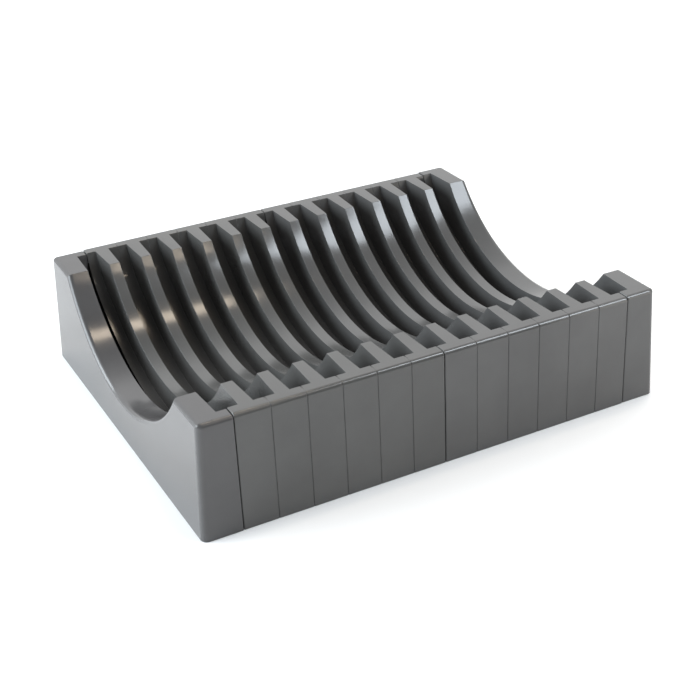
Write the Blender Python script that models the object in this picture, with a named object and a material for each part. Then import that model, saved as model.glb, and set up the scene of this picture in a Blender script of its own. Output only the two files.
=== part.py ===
"""Modular vertical plate rack for a kitchen drawer or cupboard.

Four moulded plastic modules stand side by side in a row along X: a left end, two centre modules
of six ribs each and a right end. Every module is one draped skin, open underneath. Its ribs hold
plates upright in the slots between them, and one round cradle runs over all the ribs. Each module
carries a vertical dovetail on the right end of its front and back walls, and the next module
comes down over it with a matching channel, hidden under its top skin.

+Z is up, the rounded long front face looks along -Y, and the origin is the middle of the
footprint, on the surface that the rack stands on.
"""
import math

import bmesh
import bpy
from mathutils import Matrix

# Driving dimensions, in metres.
PITCH = 0.024                # from one slot to the next
RIBS_PER_CENTRE_MODULE = 6
END_LENGTH = 0.027           # of an end module, from its seam to its outer foot
DEPTH = 0.279                # front to back, at the foot
HEIGHT = 0.081
CRADLE_LOW = 0.029           # height of the ribs under the middle of the cradle
CRADLE_EDGE = 0.0392         # from the foot of the front or back face to the cradle's upper edge
SLOT_END = 0.0109            # from the foot of the front or back face to the end of a slot
SLOT_WIDTH_AT_WALL = 0.0141
SLOT_WIDTH_MIDDLE = 0.0165
FLOOR_LOW = 0.011            # height of a slot's round floor under the middle of the cradle
FLOOR_RADIUS = 0.165
FLOOR_STEEPER_FROM = 0.115   # past this distance from the middle the floor sweeps up to the top
SLOT_DRAFT = 0.0075          # each rib side leans this much per metre of height
FACE_DRAFT = 0.0205          # lean of the front and back faces, per metre of height
END_DRAFT = 0.046            # lean of the two outer side faces
SKIN = 0.0023                # wall thickness
RIB_SKIN = 0.00195           # thickness of a rib's sides
EDGE_ROUND = 0.0032          # long top edges, and the outer top edges of the end modules
CORNER_ROUND = 0.0046        # upright outer corners of the end modules
SEAM_GAP = 0.0004            # between two modules
SEAM_CHAMFER = 0.0005
SEAM_RELIEF = 0.0018         # a module's right side is set back this far between its two walls
RELIEF_SHORT = 0.002         # the relief stops this far short of a slot's end
GROOVE_DEPTH = 0.0006        # the V grooves between the panels of a centre module
GROOVE_TOP_DEPTH = 0.0003
GROOVE_HALF_WIDTH = 0.0004
GROOVE_RUN = 0.0045          # how far forward a groove runs down a slot's end before it fades out
NOTCH_DEPTH = 0.0009         # a groove's depth on a slot's end

# The hidden dovetails that join the modules.
TAIL_NECK = 0.0013           # half width at the seam
TAIL_HEAD = 0.0022           # half width at the tip
TAIL_LENGTH = 0.0042
TAIL_HEIGHT = 0.066
TAIL_CLEARANCE = 0.00055
TAIL_FROM_FOOT = 0.0063      # from the foot of the front or back face to the tail's middle
CHANNEL_BLOCK = 0.009        # solid length of wall that a channel is cut into
CHANNEL_HEIGHT = 0.068
WALL_END = 0.0025            # thickness of the wall's end that carries a tail

# How far each module's top stands off the nominal height: a moulding difference.
TOP_OFFSET = {"left_end": -0.0006, "left_centre": 0.0, "right_centre": 0.0, "right_end": 0.0005}
END_PLAY = 0.0003            # play in the dovetails: the left end sits forward, the right end back

# How finely round stretches are divided.
ROUND_STEPS = 6
CORNER_STEPS = 8
ARC_STEPS = 48
FLOOR_STEPS = 32
STEEP_STEPS = 5

HALF_DEPTH = DEPTH / 2
CENTRE_LENGTH = RIBS_PER_CENTRE_MODULE * PITCH
HALF_CHORD = HALF_DEPTH - CRADLE_EDGE
SAGITTA = HEIGHT - CRADLE_LOW
CRADLE_RADIUS = (HALF_CHORD**2 + SAGITTA**2) / (2 * SAGITTA)
CRADLE_CENTRE = CRADLE_LOW + CRADLE_RADIUS
FLOOR_CENTRE = FLOOR_LOW + FLOOR_RADIUS
WALL_Y = HALF_DEPTH - SLOT_END
BELOW = 0.002                # how far a cutter reaches past the surface it opens


def remove_everything():
    for thing in list(bpy.data.objects):
        bpy.data.objects.remove(thing, do_unlink=True)


def plastic(name, colour, roughness):
    material = bpy.data.materials.new(name)
    material.use_nodes = True
    shader = material.node_tree.nodes["Principled BSDF"]
    shader.inputs["Base Color"].default_value = (*colour, 1.0)
    shader.inputs["Roughness"].default_value = roughness
    shader.inputs["Metallic"].default_value = 0.0
    return material


def half_profile(inset, top_inset, top_offset):
    """The upper outline of a module from the front foot to the middle of the cradle, as (y, z)."""
    top = HEIGHT + top_offset
    face_top = -HALF_DEPTH + FACE_DRAFT * (top - EDGE_ROUND)
    points = [(-HALF_DEPTH + inset, 0.0)]
    for step in range(ROUND_STEPS + 1):
        angle = math.pi / 2 * step / ROUND_STEPS
        y = face_top + inset + max(0.0, EDGE_ROUND - inset) * (1 - math.cos(angle))
        z = top - EDGE_ROUND + (EDGE_ROUND - top_inset) * math.sin(angle)
        points.append((y, z))
    radius = CRADLE_RADIUS + top_inset
    centre = CRADLE_CENTRE + top_offset
    widest = math.acos((centre - top + top_inset) / radius)
    for step in range(ARC_STEPS // 2 + 1):
        angle = widest * (1 - 2 * step / ARC_STEPS)
        points.append((-radius * math.sin(angle), centre - radius * math.cos(angle)))
    return points


def profile(inset, top_inset, top_offset, foot=0.0):
    """The whole closed outline across a module, front foot to back foot."""
    front = half_profile(inset, top_inset, top_offset)
    front[0] = (front[0][0], foot)
    back = [(-y, z) for y, z in reversed(front[:-1])]
    return front + back


def new_object(name, mesh_builder):
    """An object whose mesh is what mesh_builder adds to an empty bmesh, with its faces turned out."""
    shape = bmesh.new()
    mesh_builder(shape)
    bmesh.ops.remove_doubles(shape, verts=shape.verts, dist=0.000001)
    bmesh.ops.recalc_face_normals(shape, faces=shape.faces)
    mesh = bpy.data.meshes.new(name)
    shape.to_mesh(mesh)
    shape.free()
    thing = bpy.data.objects.new(name, mesh)
    bpy.context.scene.collection.objects.link(thing)
    return thing


def loft(shape, rings):
    """Joins rings of equal length with quads and closes both ends."""
    loops = [[shape.verts.new(point) for point in ring] for ring in rings]
    count = len(loops[0])
    for near, far in zip(loops, loops[1:]):
        for i in range(count):
            j = (i + 1) % count
            shape.faces.new((near[i], near[j], far[j], far[i]))
    shape.faces.new(loops[0])
    shape.faces.new(reversed(loops[-1]))


def ring_at(x, outline, lean=0.0):
    return [(x + lean * z, y, z) for y, z in outline]


def apply_boolean(target, cutter, operation):
    modifier = target.modifiers.new(cutter.name, "BOOLEAN")
    modifier.object = cutter
    modifier.operation = operation
    modifier.solver = "EXACT"
    graph = bpy.context.evaluated_depsgraph_get()
    result = bpy.data.meshes.new_from_object(target.evaluated_get(graph))
    target.modifiers.remove(modifier)
    old_mesh = target.data
    target.data = result
    bpy.data.meshes.remove(old_mesh)
    bpy.data.objects.remove(cutter, do_unlink=True)


def centre_block(length, top_offset):
    """The outside of a centre module, with its V grooves and chamfered ends."""
    stations = [(0.0, SEAM_CHAMFER, SEAM_CHAMFER), (SEAM_CHAMFER, 0.0, 0.0)]
    for rib in range(1, RIBS_PER_CENTRE_MODULE):
        middle = rib * PITCH - SEAM_GAP / 2
        stations.append((middle - GROOVE_HALF_WIDTH, 0.0, 0.0))
        stations.append((middle, GROOVE_DEPTH, GROOVE_TOP_DEPTH))
        stations.append((middle + GROOVE_HALF_WIDTH, 0.0, 0.0))
    stations.append((length - SEAM_CHAMFER, 0.0, 0.0))
    stations.append((length, SEAM_CHAMFER, SEAM_CHAMFER))

    def build(shape):
        loft(shape, [ring_at(x, profile(i, t, top_offset)) for x, i, t in stations])

    return new_object("centre_block", build)


def end_block(seam_x, outer_x, top_offset):
    """The outside of an end module: its outer side face leans in and all its edges are rounded."""
    inward = 1 if outer_x < seam_x else -1
    rings = []
    for step in range(CORNER_STEPS + 1):
        angle = math.pi / 2 * step / CORNER_STEPS
        from_outside = CORNER_ROUND * (1 - math.cos(angle))
        inset = CORNER_ROUND * (1 - math.sin(angle))
        short = max(0.0, EDGE_ROUND - from_outside)
        top_inset = EDGE_ROUND - math.sqrt(EDGE_ROUND**2 - short**2)
        x = outer_x + inward * from_outside
        rings.append(ring_at(x, profile(inset, top_inset, top_offset), inward * END_DRAFT))
    before_seam = seam_x - inward * SEAM_CHAMFER
    rings.append(ring_at(before_seam, profile(0.0, 0.0, top_offset)))
    rings.append(ring_at(seam_x, profile(SEAM_CHAMFER, SEAM_CHAMFER, top_offset)))
    return new_object("end_block", lambda shape: loft(shape, rings))


def slot_half_width(y, z):
    """Slots narrow towards both walls, and a little towards their floor."""
    along = max(0.0, (abs(y) - HALF_CHORD) / (WALL_Y - HALF_CHORD))
    width = SLOT_WIDTH_MIDDLE + (SLOT_WIDTH_AT_WALL - SLOT_WIDTH_MIDDLE) * along
    return width / 2 - SLOT_DRAFT * (HEIGHT - z)


def floor_arc(y):
    return FLOOR_CENTRE - math.sqrt(FLOOR_RADIUS**2 - y**2)


def floor_height(y):
    """Height of a slot's floor: one round arc that steepens at both ends to reach the top."""
    steepening = (HEIGHT + BELOW / 2 - floor_arc(WALL_Y)) / (WALL_Y - FLOOR_STEEPER_FROM) ** 2
    return floor_arc(y) + steepening * max(0.0, abs(y) - FLOOR_STEEPER_FROM) ** 2


def floor_slope(y):
    step = 0.0001
    return (floor_height(y + step) - floor_height(y - step)) / (2 * step)


def slot_stations():
    """Where a slot is measured along Y: even steps along its floor, and where its taper starts."""
    widest = math.asin(FLOOR_STEEPER_FROM / FLOOR_RADIUS)
    steps = [widest * (2 * step / FLOOR_STEPS - 1) for step in range(FLOOR_STEPS + 1)]
    places = [FLOOR_RADIUS * math.sin(angle) for angle in steps]
    kept = [y for y in places if abs(abs(y) - HALF_CHORD) > 0.002]
    reach = WALL_Y - FLOOR_STEEPER_FROM
    for step in range(1, STEEP_STEPS + 1):
        y = FLOOR_STEEPER_FROM + reach * step / STEEP_STEPS
        kept += [-y, y]
    return sorted(kept + [-HALF_CHORD, HALF_CHORD])


def slot_cutter(middles, top):
    """The open space of each slot, down to its round floor."""

    def build(shape):
        high = top + BELOW
        for middle in middles:
            rings = []
            for y in slot_stations():
                low = floor_height(y)
                wide = slot_half_width(y, high)
                narrow = slot_half_width(y, low)
                corners = [(-narrow, low), (narrow, low), (wide, high), (-wide, high)]
                rings.append([(middle + x, y, z) for x, z in corners])
            loft(shape, rings)

    return new_object("slots", build)


def relief_cutter(seam_x, top):
    """Sets a module's right side back between its walls, so that only the walls meet at the seam."""
    end = WALL_Y - RELIEF_SHORT
    left = seam_x - SEAM_RELIEF
    right = seam_x + BELOW
    outline = [(-end, -BELOW), (end, -BELOW), (end, top + BELOW), (-end, top + BELOW)]
    return new_object(
        "relief", lambda shape: loft(shape, [ring_at(left, outline), ring_at(right, outline)])
    )


def wall_notches(middles):
    """The panel grooves carried over the edge of both walls and a little way down each slot's end."""
    foot_y = WALL_Y - GROOVE_RUN
    rise = floor_height(WALL_Y) - floor_height(foot_y)
    slant = math.hypot(GROOVE_RUN, rise)
    along = (GROOVE_RUN / slant, rise / slant)
    high = (WALL_Y + along[0] * BELOW, floor_height(WALL_Y) + along[1] * BELOW)
    low = (foot_y, floor_height(foot_y))

    def section(middle, side, place, depths):
        corners = [(-2, depths[0]), (2, depths[0]), (0, depths[1])]
        return [
            (
                middle + u * GROOVE_HALF_WIDTH,
                side * (place[0] + along[1] * depth),
                place[1] - along[0] * depth,
            )
            for u, depth in corners
        ]

    def build(shape):
        for middle in middles:
            for side in (-1, 1):
                top_ring = section(middle, side, high, (-NOTCH_DEPTH, NOTCH_DEPTH))
                low_ring = section(middle, side, low, (-2 * NOTCH_DEPTH, 0.0))
                loft(shape, [low_ring, top_ring])

    return new_object("wall_notches", build)


def slot_hollows(spans):
    """The space under each slot's floor, open below. A span is (left x, right x)."""
    roof = []
    for y in slot_stations():
        slope = floor_slope(y)
        stretch = math.hypot(1.0, slope)
        roof.append((y + SKIN * slope / stretch, floor_height(y) - SKIN / stretch))
    outline = [(-WALL_Y, -BELOW)]
    outline += [(y, z) for y, z in roof if abs(y) < WALL_Y]
    outline.append((WALL_Y, -BELOW))

    def build(shape):
        for left, right in spans:
            loft(shape, [ring_at(left, outline), ring_at(right, outline)])

    return new_object("slot_hollows", build)


def rib_hollows(spans, top_offset):
    """The space inside each rib, open below. A span is (left x, right x, left lean, right lean)."""
    outline = profile(SKIN, SKIN, top_offset, foot=-BELOW)

    def build(shape):
        for left, right, left_lean, right_lean in spans:
            loft(shape, [ring_at(left, outline, left_lean), ring_at(right, outline, right_lean)])

    return new_object("rib_hollows", build)


def wall_hollows(left, right, top_offset):
    """The space inside the front and back walls, open below."""
    roof = HEIGHT + top_offset - SKIN
    outer_foot = HALF_DEPTH - SKIN
    inner = WALL_Y + SKIN
    outline = [
        (outer_foot, -BELOW),
        (outer_foot - FACE_DRAFT * roof, roof),
        (inner, roof),
        (inner, -BELOW),
    ]

    def build(shape):
        for side in (-1, 1):
            flipped = [(side * y, z) for y, z in outline]
            loft(shape, [ring_at(left, flipped), ring_at(right, flipped)])

    return new_object("wall_hollows", build)


def tail_prisms(name, root_x, seam_x, spread, low, high):
    """A dovetail in the front wall and one in the back wall, pointing along +X from the seam."""
    slope = (TAIL_HEAD - TAIL_NECK) / TAIL_LENGTH
    tip_x = seam_x + TAIL_LENGTH + (spread if spread else 0.0)
    root = TAIL_NECK + slope * (root_x - seam_x) + spread
    tip = TAIL_HEAD + spread

    def build(shape):
        for side in (-1, 1):
            y = side * (HALF_DEPTH - TAIL_FROM_FOOT)
            outline = [(root_x, y - root), (tip_x, y - tip), (tip_x, y + tip), (root_x, y + root)]
            loft(shape, [[(px, py, z) for px, py in outline] for z in (low, high)])

    return new_object(name, build)


def add_tails(module, seam_x):
    face_x = seam_x - SEAM_GAP / 2
    tails = tail_prisms("tails", face_x - WALL_END / 2, seam_x, 0.0, 0.0, TAIL_HEIGHT)
    apply_boolean(module, tails, "UNION")


def cut_channels(module, seam_x):
    channels = tail_prisms("channels", seam_x - BELOW, seam_x, TAIL_CLEARANCE, -BELOW, CHANNEL_HEIGHT)
    apply_boolean(module, channels, "DIFFERENCE")


def finish(thing, name, place, material):
    thing.name = name
    thing.data.name = name
    thing.location = place
    thing.data.materials.clear()
    thing.data.materials.append(material)
    thing.data.shade_smooth()
    thing.data.set_sharp_from_angle(angle=math.radians(30))
    return thing


def centre_module(name, top_offset, place, material):
    """Six ribs and five whole slots, with half a slot at each end. Its local x = 0 is its left seam."""
    first = SEAM_GAP / 2
    block = centre_block(CENTRE_LENGTH - SEAM_GAP, top_offset)
    block.data.transform(Matrix.Translation((first, 0.0, 0.0)))
    top = HEIGHT + top_offset
    slots = [rib * PITCH for rib in range(RIBS_PER_CENTRE_MODULE + 1)]
    apply_boolean(block, slot_cutter(slots, top), "DIFFERENCE")
    apply_boolean(block, wall_notches(slots[1:-1]), "DIFFERENCE")
    half_slot = SLOT_WIDTH_MIDDLE / 2
    half_hollow = PITCH / 2 - half_slot - RIB_SKIN
    spans = []
    for rib in range(RIBS_PER_CENTRE_MODULE):
        middle = (rib + 0.5) * PITCH
        spans.append((middle - half_hollow, middle + half_hollow, 0.0, 0.0))
    apply_boolean(block, rib_hollows(spans, top_offset), "DIFFERENCE")
    under = [(x - half_slot, x + half_slot) for x in slots[1:-1]]
    under.append((first + SKIN, half_slot))
    under.append((CENTRE_LENGTH - half_slot, CENTRE_LENGTH - SEAM_RELIEF - SKIN))
    apply_boolean(block, slot_hollows(under), "DIFFERENCE")
    apply_boolean(block, relief_cutter(CENTRE_LENGTH, top), "DIFFERENCE")
    hollows = wall_hollows(first + CHANNEL_BLOCK, CENTRE_LENGTH - first - WALL_END, top_offset)
    apply_boolean(block, hollows, "DIFFERENCE")
    add_tails(block, CENTRE_LENGTH)
    cut_channels(block, 0.0)
    return finish(block, name, place, material)


def left_end_module(name, top_offset, place, material):
    """The left end. Its local x = 0 is its seam, and its outer side face looks along -X."""
    top = HEIGHT + top_offset
    half_slot = SLOT_WIDTH_MIDDLE / 2
    block = end_block(-SEAM_GAP / 2, -END_LENGTH, top_offset)
    apply_boolean(block, slot_cutter([0.0], top), "DIFFERENCE")
    outer = -END_LENGTH + SKIN
    inner = -half_slot - SKIN
    apply_boolean(block, rib_hollows([(outer, inner, END_DRAFT, 0.0)], top_offset), "DIFFERENCE")
    apply_boolean(block, slot_hollows([(-half_slot, -SEAM_RELIEF - SKIN)]), "DIFFERENCE")
    apply_boolean(block, relief_cutter(0.0, top), "DIFFERENCE")
    walls = wall_hollows(inner - SKIN, -SEAM_GAP / 2 - WALL_END, top_offset)
    apply_boolean(block, walls, "DIFFERENCE")
    add_tails(block, 0.0)
    return finish(block, name, place, material)


def right_end_module(name, top_offset, place, material):
    """The right end. Its local x = 0 is its seam, and its outer side face looks along +X."""
    half_slot = SLOT_WIDTH_MIDDLE / 2
    block = end_block(SEAM_GAP / 2, END_LENGTH, top_offset)
    apply_boolean(block, slot_cutter([0.0], HEIGHT + top_offset), "DIFFERENCE")
    inner = half_slot + SKIN
    outer = END_LENGTH - SKIN
    apply_boolean(block, rib_hollows([(inner, outer, 0.0, -END_DRAFT)], top_offset), "DIFFERENCE")
    apply_boolean(block, slot_hollows([(SEAM_GAP / 2 + SKIN, half_slot)]), "DIFFERENCE")
    cut_channels(block, 0.0)
    return finish(block, name, place, material)


def main():
    remove_everything()
    anthracite = (0.115, 0.115, 0.116)
    left_seam = -CENTRE_LENGTH
    left_end_module(
        "left_end_module",
        TOP_OFFSET["left_end"],
        (left_seam, -END_PLAY, 0.0),
        plastic("left_end_plastic", anthracite, 0.32),
    )
    centre_module(
        "left_centre_module",
        TOP_OFFSET["left_centre"],
        (left_seam, 0.0, 0.0),
        plastic("left_centre_plastic", anthracite, 0.32),
    )
    centre_module(
        "right_centre_module",
        TOP_OFFSET["right_centre"],
        (0.0, 0.0, 0.0),
        plastic("right_centre_plastic", anthracite, 0.32),
    )
    right_end_module(
        "right_end_module",
        TOP_OFFSET["right_end"],
        (CENTRE_LENGTH, END_PLAY, 0.0),
        plastic("right_end_plastic", anthracite, 0.32),
    )


main()
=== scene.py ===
"""Looks for the modular plate rack: satin anthracite plastic in a plain white studio."""

import math

import bmesh
import bpy
from mathutils import Euler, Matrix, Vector


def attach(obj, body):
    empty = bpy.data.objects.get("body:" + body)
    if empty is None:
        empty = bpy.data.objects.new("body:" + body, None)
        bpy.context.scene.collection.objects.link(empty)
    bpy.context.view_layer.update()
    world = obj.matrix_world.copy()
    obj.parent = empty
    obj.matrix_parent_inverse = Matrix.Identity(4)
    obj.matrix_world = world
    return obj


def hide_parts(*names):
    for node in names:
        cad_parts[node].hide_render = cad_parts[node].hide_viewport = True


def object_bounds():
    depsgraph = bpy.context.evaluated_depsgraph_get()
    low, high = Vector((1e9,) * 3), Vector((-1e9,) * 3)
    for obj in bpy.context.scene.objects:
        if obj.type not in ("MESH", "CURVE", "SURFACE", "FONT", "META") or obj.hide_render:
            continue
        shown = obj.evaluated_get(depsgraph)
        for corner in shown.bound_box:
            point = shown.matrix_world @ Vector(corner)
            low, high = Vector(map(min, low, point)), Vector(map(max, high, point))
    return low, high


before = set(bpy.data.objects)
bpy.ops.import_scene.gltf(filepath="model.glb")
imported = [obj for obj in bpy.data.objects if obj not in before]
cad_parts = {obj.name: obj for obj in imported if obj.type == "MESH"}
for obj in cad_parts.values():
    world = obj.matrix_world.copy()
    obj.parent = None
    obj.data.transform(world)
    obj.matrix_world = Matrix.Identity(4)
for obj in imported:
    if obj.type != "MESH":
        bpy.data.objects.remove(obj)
cad_low, cad_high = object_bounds()

MODULES = {
    "left_end": "left_end_module",
    "left_centre": "left_centre_module",
    "right_centre": "right_centre_module",
    "right_end": "right_end_module",
}

# Linear colours, one per moulding, stepped lighter from left to right: painted shade on the left
# mouldings and painted light on the right ones, standing in for light that falls off towards the
# left.
FALLOFF_SHADED_TINTS = {
    "left_end": (0.0675, 0.0660, 0.0670),
    "left_centre": (0.0710, 0.0705, 0.0690),
    "right_centre": (0.0735, 0.0728, 0.0724),
    "right_end": (0.0750, 0.0750, 0.0750),
}

# The mould's edge rounds, added to the CAD's skin, in metres.
EDGE_ROUND = 0.00022
EDGE_SEGMENTS = 2
EDGE_ANGLE = math.radians(24)    # sharper edges than this are rounded
SAME_PLACE = 0.000002
FLAT_ANGLE = math.radians(0.25)  # faces closer than this in slope are one face

# The plastic. Noise scales are per metre.
REFRACTION = 1.5
TONE_SPREAD = 0.1                # lighter and darker than the tint by this share
ROUGHNESS_RANGE = (0.13, 0.18)
SEED_STEP = 1.7                  # moves each moulding's noise on from the last one's

# The camera, in metres and radians.
LENS_FACTOR = 1.92873
SENSOR = 36.0
CAMERA_PLACE = (-0.38991, -0.76692, 0.48620)
CAMERA_TURN = (1.07951, 0.02660, -0.50453)
CAMERA_SHIFT = (-0.0257, -0.0143)

FLOOR_REACH = 30.0
FLOOR_BELOW = 0.0002
FLOOR_COLOUR = (0.92, 0.92, 0.92, 1.0)
FLOOR_ROUGHNESS = 0.6

# The sky: grey level against the sine of the height above the horizon.
SKY_STRENGTH = 2.0
SKY_BEHIND = [
    (0.0, 0.70), (0.37, 0.68), (0.48, 0.76), (0.70, 0.95), (0.88, 0.38), (0.96, 0.05), (1.0, 0.04)
]
SKY_BEFORE = [(0.0, 0.14), (0.30, 0.06), (0.88, 0.26), (0.96, 0.05), (1.0, 0.04)]
SKY_TURN = (-0.35, 0.25)         # from front to back, where one sky gives way to the other

# The lamps, all turned to LIT: place, size (width, height), power and colour.
LIT = (0, 0, 0.04)
COOL = (0.86, 0.93, 1.0)
WARM = (1.0, 0.84, 0.66)
LAMPS = {
    "left_box": ((-1.6, 0.45, 0.70), (2.1, 1.2), 56, (0.85, 0.94, 1.0)),
    "low_fill": ((0.58, -0.52, 0.20), (0.4, 0.3), 1.0, (1.0, 0.94, 0.86)),
    "window": ((1.08, -0.9, 1.5), (0.5, 1.0), 20, COOL),
    "lamp": ((0.23, 0.03, 1.5), (0.16, 0.46), 3.4, WARM),
    "far_lamp": ((0.46, -1.1, 1.5), (0.3, 0.10), 1.2, WARM),
}


def add_camera():
    """The camera at the object's front left, looking down."""
    data = bpy.data.cameras.new("camera")
    data.sensor_width = SENSOR
    data.lens = LENS_FACTOR * SENSOR
    data.shift_x, data.shift_y = CAMERA_SHIFT
    data.clip_start = 0.01
    camera = bpy.data.objects.new("camera", data)
    camera.location = CAMERA_PLACE
    camera.rotation_euler = Euler(CAMERA_TURN, "XYZ")
    bpy.context.scene.collection.objects.link(camera)
    bpy.context.scene.camera = camera


def fine_copy(node_name, name):
    """The module's skin with its edges softened, as a mould leaves them."""
    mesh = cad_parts[node_name].data.copy()
    mesh.name = name
    shape = bmesh.new()
    shape.from_mesh(mesh)
    bmesh.ops.remove_doubles(shape, verts=shape.verts, dist=SAME_PLACE)
    bmesh.ops.dissolve_limit(
        shape, angle_limit=FLAT_ANGLE, verts=shape.verts, edges=shape.edges
    )
    for face in shape.faces:
        face.smooth = True
    shape.to_mesh(mesh)
    shape.free()
    mesh.materials.clear()
    piece = bpy.data.objects.new(name, mesh)
    bpy.context.scene.collection.objects.link(piece)
    bevel = piece.modifiers.new("edges", "BEVEL")
    bevel.width = EDGE_ROUND
    bevel.segments = EDGE_SEGMENTS
    bevel.limit_method = "ANGLE"
    bevel.angle_limit = EDGE_ANGLE
    bevel.use_clamp_overlap = False
    shading = piece.modifiers.new("shading", "WEIGHTED_NORMAL")
    shading.mode = "FACE_AREA"
    return piece


def node(tree, kind, **values):
    """A shader node with its attributes set; keys that name an input set that input."""
    made = tree.nodes.new(kind)
    for key, value in values.items():
        if key in made.inputs:
            made.inputs[key].default_value = value
        else:
            setattr(made, key, value)
    return made


def noise(tree, where, scale, detail, roughness):
    """The grey output of a noise texture laid over the object."""
    texture = node(tree, "ShaderNodeTexNoise", Scale=scale, Detail=detail, Roughness=roughness)
    tree.links.new(where, texture.inputs["Vector"])
    return texture.outputs["Fac"]


def add_tone(tree, where, tint, shader):
    """Faint clouds and specks of lighter and darker plastic."""
    link = tree.links.new
    clouds = noise(tree, where, 22.0, 4.0, 0.55)
    specks = noise(tree, where, 2600.0, 2.0, 0.6)
    mixed = node(tree, "ShaderNodeMath", operation="MULTIPLY_ADD")
    mixed.inputs[1].default_value = 0.35
    link(specks, mixed.inputs[0])
    link(clouds, mixed.inputs[2])
    ramp = node(tree, "ShaderNodeValToRGB")
    dark, light = ramp.color_ramp.elements
    dark.position, light.position = 0.45, 0.9
    dark.color = (*[channel * (1 - TONE_SPREAD) for channel in tint], 1.0)
    light.color = (*[channel * (1 + TONE_SPREAD) for channel in tint], 1.0)
    link(mixed.outputs["Value"], ramp.inputs["Fac"])
    link(ramp.outputs["Color"], shader.inputs["Base Color"])


def add_gloss(tree, where, shader):
    """Smears where the satin is a little smoother or rougher."""
    low, high = ROUGHNESS_RANGE
    spread = {"From Min": 0.3, "From Max": 0.7, "To Min": low, "To Max": high}
    gloss = node(tree, "ShaderNodeMapRange", **spread)
    tree.links.new(noise(tree, where, 60.0, 5.0, 0.6), gloss.inputs["Value"])
    tree.links.new(gloss.outputs["Result"], shader.inputs["Roughness"])


def add_relief(tree, where, shader):
    """The mould's fine grain on top of slow waves from shrinkage."""
    link = tree.links.new
    fine = node(tree, "ShaderNodeBump", Strength=0.06, Distance=0.0001)
    slow = node(tree, "ShaderNodeBump", Strength=0.012, Distance=0.0006)
    link(noise(tree, where, 1500.0, 3.0, 0.6), fine.inputs["Height"])
    link(noise(tree, where, 70.0, 1.0, 0.4), slow.inputs["Height"])
    link(slow.outputs["Normal"], fine.inputs["Normal"])
    link(fine.outputs["Normal"], shader.inputs["Normal"])


def plastic(name, tint, seed):
    """Satin moulded plastic, with its own patch of noise for each moulding."""
    material = bpy.data.materials.new(name)
    material.use_nodes = True
    tree = material.node_tree
    shader = tree.nodes["Principled BSDF"]
    shader.inputs["IOR"].default_value = REFRACTION
    middle = node(tree, "ShaderNodeTexCoord")
    moved = node(tree, "ShaderNodeMapping", Location=(seed, seed * 0.37, seed * 0.11))
    tree.links.new(middle.outputs["Object"], moved.inputs["Vector"])
    where = moved.outputs["Vector"]
    add_tone(tree, where, tint, shader)
    add_gloss(tree, where, shader)
    add_relief(tree, where, shader)
    return material


def add_floor():
    """A wide white floor just under the rack."""
    mesh = bpy.data.meshes.new("floor")
    corners = [(x * FLOOR_REACH, y * FLOOR_REACH, 0) for x, y in ((-1, -1), (1, -1), (1, 1), (-1, 1))]
    mesh.from_pydata(corners, [], [(0, 1, 2, 3)])
    floor = bpy.data.objects.new("floor", mesh)
    floor.location.z = cad_low.z - FLOOR_BELOW
    bpy.context.scene.collection.objects.link(floor)
    material = bpy.data.materials.new("floor")
    material.use_nodes = True
    shader = material.node_tree.nodes["Principled BSDF"]
    shader.inputs["Base Color"].default_value = FLOOR_COLOUR
    shader.inputs["Roughness"].default_value = FLOOR_ROUGHNESS
    mesh.materials.append(material)


def area_light(name, place, size, power, colour):
    """A rectangular soft lamp turned to the rack."""
    data = bpy.data.lights.new(name, "AREA")
    data.shape = "RECTANGLE"
    data.size, data.size_y = size
    data.energy = power
    data.color = colour
    light = bpy.data.objects.new(name, data)
    light.location = place
    light.rotation_euler = (Vector(LIT) - Vector(place)).to_track_quat("-Z", "Y").to_euler()
    bpy.context.scene.collection.objects.link(light)


def ramp_of(tree, stops):
    """A colour ramp from a list of (position, grey level)."""
    ramp = node(tree, "ShaderNodeValToRGB")
    elements = ramp.color_ramp.elements
    elements.remove(elements[1])
    for number, (position, level) in enumerate(stops):
        element = elements[0] if number == 0 else elements.new(position)
        element.position = position
        element.color = (level, level, level, 1.0)
    return ramp


def add_world():
    """A white studio: bright behind the object, dimmer overhead, darkest on the camera's side."""
    world = bpy.data.worlds.new("studio")
    bpy.context.scene.world = world
    world.use_nodes = True
    tree = world.node_tree
    link = tree.links.new
    where = node(tree, "ShaderNodeTexCoord")
    split = node(tree, "ShaderNodeSeparateXYZ")
    link(where.outputs["Generated"], split.inputs["Vector"])
    behind = ramp_of(tree, SKY_BEHIND)
    before = ramp_of(tree, SKY_BEFORE)
    share = node(tree, "ShaderNodeMapRange", interpolation_type="SMOOTHSTEP")
    share.inputs["From Min"].default_value, share.inputs["From Max"].default_value = SKY_TURN
    mix = node(tree, "ShaderNodeMix", data_type="RGBA")
    link(split.outputs["Z"], behind.inputs["Fac"])
    link(split.outputs["Z"], before.inputs["Fac"])
    link(split.outputs["Y"], share.inputs["Value"])
    link(share.outputs["Result"], mix.inputs[0])
    link(before.outputs["Color"], mix.inputs[6])
    link(behind.outputs["Color"], mix.inputs[7])
    background = tree.nodes["Background"]
    link(mix.outputs[2], background.inputs["Color"])
    background.inputs["Strength"].default_value = SKY_STRENGTH


bpy.context.scene.view_settings.view_transform = "Standard"
add_camera()
add_floor()
add_world()
for name, settings in LAMPS.items():
    area_light(name, *settings)
for number, (body, cad_node) in enumerate(MODULES.items()):
    piece = fine_copy(cad_node, body + "_shell")
    # Each moulding's colour carries painted shade, darker towards the left end.
    piece.data.materials.append(plastic(body + "_satin", FALLOFF_SHADED_TINTS[body], SEED_STEP * number))
    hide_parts(cad_node)
    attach(piece, body)
